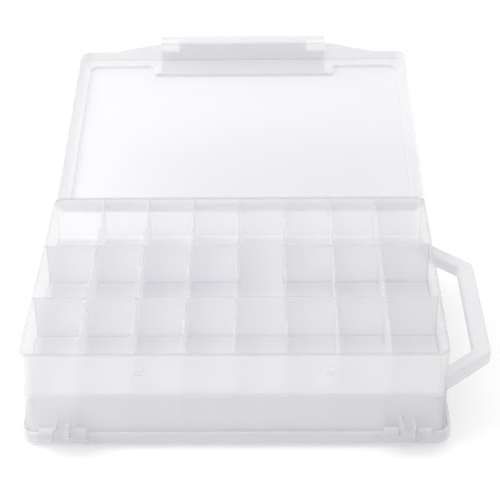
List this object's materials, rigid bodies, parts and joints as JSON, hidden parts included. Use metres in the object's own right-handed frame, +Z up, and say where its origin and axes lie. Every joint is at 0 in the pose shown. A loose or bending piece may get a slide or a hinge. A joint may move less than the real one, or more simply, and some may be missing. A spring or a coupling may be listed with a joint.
{
  "type": "thread storage box",
  "caption": "Double-sided divided storage box for sewing thread, with a hinged and latched lid on each side, removable dividers and a fixed carrying handle at one end.",
  "frame": {"origin": "centre of the closed case's footprint, on the surface that the lower lid rests on", "axes": "+X towards the carrying handle, +Y towards the upper lid's hinge (back), +Z up"},
  "size_m": [0.3394, 0.4934, 0.116],
  "materials": {
    "tray_plastic": "translucent milky polypropylene, smooth gloss",
    "lid_plastic": "translucent milky polypropylene, smooth gloss",
    "divider_plastic": "translucent milky polypropylene, satin gloss",
    "latch_plastic": "translucent milky polypropylene, smooth gloss",
    "handle_plastic": "translucent milky polypropylene, satin"
  },
  "bodies": {
    "case": {"upper_tray": "tray_plastic", "lower_tray": "tray_plastic", "handle": "handle_plastic", "lower_divider_front_1": "divider_plastic", "lower_divider_front_2": "divider_plastic", "lower_divider_front_3": "divider_plastic", "lower_divider_front_4": "divider_plastic", "lower_divider_front_5": "divider_plastic", "lower_divider_front_6": "divider_plastic", "lower_divider_front_7": "divider_plastic", "lower_divider_middle_1": "divider_plastic", "lower_divider_middle_2": "divider_plastic", "lower_divider_middle_3": "divider_plastic", "lower_divider_middle_4": "divider_plastic", "lower_divider_middle_5": "divider_plastic", "lower_divider_middle_6": "divider_plastic", "lower_divider_middle_7": "divider_plastic", "lower_divider_back_1": "divider_plastic", "lower_divider_back_2": "divider_plastic", "lower_divider_back_3": "divider_plastic", "lower_divider_back_4": "divider_plastic", "lower_divider_back_5": "divider_plastic", "lower_divider_back_6": "divider_plastic", "lower_divider_back_7": "divider_plastic"},
    "top_lid_body": {"top_lid": "lid_plastic"},
    "bottom_lid_body": {"bottom_lid": "lid_plastic"},
    "top_latch_body": {"top_latch": "latch_plastic"},
    "bottom_latch_body": {"bottom_latch": "latch_plastic"},
    "upper_divider_front_1_body": {"upper_divider_front_1": "divider_plastic"},
    "upper_divider_front_2_body": {"upper_divider_front_2": "divider_plastic"},
    "upper_divider_front_3_body": {"upper_divider_front_3": "divider_plastic"},
    "upper_divider_front_4_body": {"upper_divider_front_4": "divider_plastic"},
    "upper_divider_front_5_body": {"upper_divider_front_5": "divider_plastic"},
    "upper_divider_front_6_body": {"upper_divider_front_6": "divider_plastic"},
    "upper_divider_front_7_body": {"upper_divider_front_7": "divider_plastic"},
    "upper_divider_middle_1_body": {"upper_divider_middle_1": "divider_plastic"},
    "upper_divider_middle_2_body": {"upper_divider_middle_2": "divider_plastic"},
    "upper_divider_middle_3_body": {"upper_divider_middle_3": "divider_plastic"},
    "upper_divider_middle_4_body": {"upper_divider_middle_4": "divider_plastic"},
    "upper_divider_middle_5_body": {"upper_divider_middle_5": "divider_plastic"},
    "upper_divider_middle_6_body": {"upper_divider_middle_6": "divider_plastic"},
    "upper_divider_middle_7_body": {"upper_divider_middle_7": "divider_plastic"},
    "upper_divider_back_1_body": {"upper_divider_back_1": "divider_plastic"},
    "upper_divider_back_2_body": {"upper_divider_back_2": "divider_plastic"},
    "upper_divider_back_3_body": {"upper_divider_back_3": "divider_plastic"},
    "upper_divider_back_4_body": {"upper_divider_back_4": "divider_plastic"},
    "upper_divider_back_5_body": {"upper_divider_back_5": "divider_plastic"},
    "upper_divider_back_6_body": {"upper_divider_back_6": "divider_plastic"},
    "upper_divider_back_7_body": {"upper_divider_back_7": "divider_plastic"}
  },
  "joints": [
    {"name": "top_lid_hinge", "type": "hinge", "parent": "case", "child": "top_lid_body", "pos_m": [0, 0.1225, 0.0668], "axis": [-1, 0, 0], "range_deg": [-171, 0]},
    {"name": "bottom_lid_hinge", "type": "hinge", "parent": "case", "child": "bottom_lid_body", "pos_m": [0, -0.1225, 0.0178], "axis": [-1, 0, 0], "range_deg": [0, 171]},
    {"name": "top_latch_hinge", "type": "hinge", "parent": "top_lid_body", "child": "top_latch_body", "pos_m": [0, 0.34096, 0.0849], "axis": [-1, 0, 0], "range_deg": [0, 100]},
    {"name": "bottom_latch_hinge", "type": "hinge", "parent": "bottom_lid_body", "child": "bottom_latch_body", "pos_m": [0, 0.0961, 0.0015], "axis": [-1, 0, 0], "range_deg": [0, 100]},
    {"name": "upper_divider_front_1_slide", "type": "slide", "parent": "case", "child": "upper_divider_front_1_body", "axis": [0, 0, 1], "range_m": [0, 0.0365]},
    {"name": "upper_divider_front_2_slide", "type": "slide", "parent": "case", "child": "upper_divider_front_2_body", "axis": [0, 0, 1], "range_m": [0, 0.0365]},
    {"name": "upper_divider_front_3_slide", "type": "slide", "parent": "case", "child": "upper_divider_front_3_body", "axis": [0, 0, 1], "range_m": [0, 0.0365]},
    {"name": "upper_divider_front_4_slide", "type": "slide", "parent": "case", "child": "upper_divider_front_4_body", "axis": [0, 0, 1], "range_m": [0, 0.0365]},
    {"name": "upper_divider_front_5_slide", "type": "slide", "parent": "case", "child": "upper_divider_front_5_body", "axis": [0, 0, 1], "range_m": [0, 0.0365]},
    {"name": "upper_divider_front_6_slide", "type": "slide", "parent": "case", "child": "upper_divider_front_6_body", "axis": [0, 0, 1], "range_m": [0, 0.0365]},
    {"name": "upper_divider_front_7_slide", "type": "slide", "parent": "case", "child": "upper_divider_front_7_body", "axis": [0, 0, 1], "range_m": [0, 0.0365]},
    {"name": "upper_divider_middle_1_slide", "type": "slide", "parent": "case", "child": "upper_divider_middle_1_body", "axis": [0, 0, 1], "range_m": [0, 0.0365]},
    {"name": "upper_divider_middle_2_slide", "type": "slide", "parent": "case", "child": "upper_divider_middle_2_body", "axis": [0, 0, 1], "range_m": [0, 0.0365]},
    {"name": "upper_divider_middle_3_slide", "type": "slide", "parent": "case", "child": "upper_divider_middle_3_body", "axis": [0, 0, 1], "range_m": [0, 0.0365]},
    {"name": "upper_divider_middle_4_slide", "type": "slide", "parent": "case", "child": "upper_divider_middle_4_body", "axis": [0, 0, 1], "range_m": [0, 0.0365]},
    {"name": "upper_divider_middle_5_slide", "type": "slide", "parent": "case", "child": "upper_divider_middle_5_body", "axis": [0, 0, 1], "range_m": [0, 0.0365]},
    {"name": "upper_divider_middle_6_slide", "type": "slide", "parent": "case", "child": "upper_divider_middle_6_body", "axis": [0, 0, 1], "range_m": [0, 0.0365]},
    {"name": "upper_divider_middle_7_slide", "type": "slide", "parent": "case", "child": "upper_divider_middle_7_body", "axis": [0, 0, 1], "range_m": [0, 0.0365]},
    {"name": "upper_divider_back_1_slide", "type": "slide", "parent": "case", "child": "upper_divider_back_1_body", "axis": [0, 0, 1], "range_m": [0, 0.0365]},
    {"name": "upper_divider_back_2_slide", "type": "slide", "parent": "case", "child": "upper_divider_back_2_body", "axis": [0, 0, 1], "range_m": [0, 0.0365]},
    {"name": "upper_divider_back_3_slide", "type": "slide", "parent": "case", "child": "upper_divider_back_3_body", "axis": [0, 0, 1], "range_m": [0, 0.0365]},
    {"name": "upper_divider_back_4_slide", "type": "slide", "parent": "case", "child": "upper_divider_back_4_body", "axis": [0, 0, 1], "range_m": [0, 0.0365]},
    {"name": "upper_divider_back_5_slide", "type": "slide", "parent": "case", "child": "upper_divider_back_5_body", "axis": [0, 0, 1], "range_m": [0, 0.0365]},
    {"name": "upper_divider_back_6_slide", "type": "slide", "parent": "case", "child": "upper_divider_back_6_body", "axis": [0, 0, 1], "range_m": [0, 0.0365]},
    {"name": "upper_divider_back_7_slide", "type": "slide", "parent": "case", "child": "upper_divider_back_7_body", "axis": [0, 0, 1], "range_m": [0, 0.0365]}
  ]
}
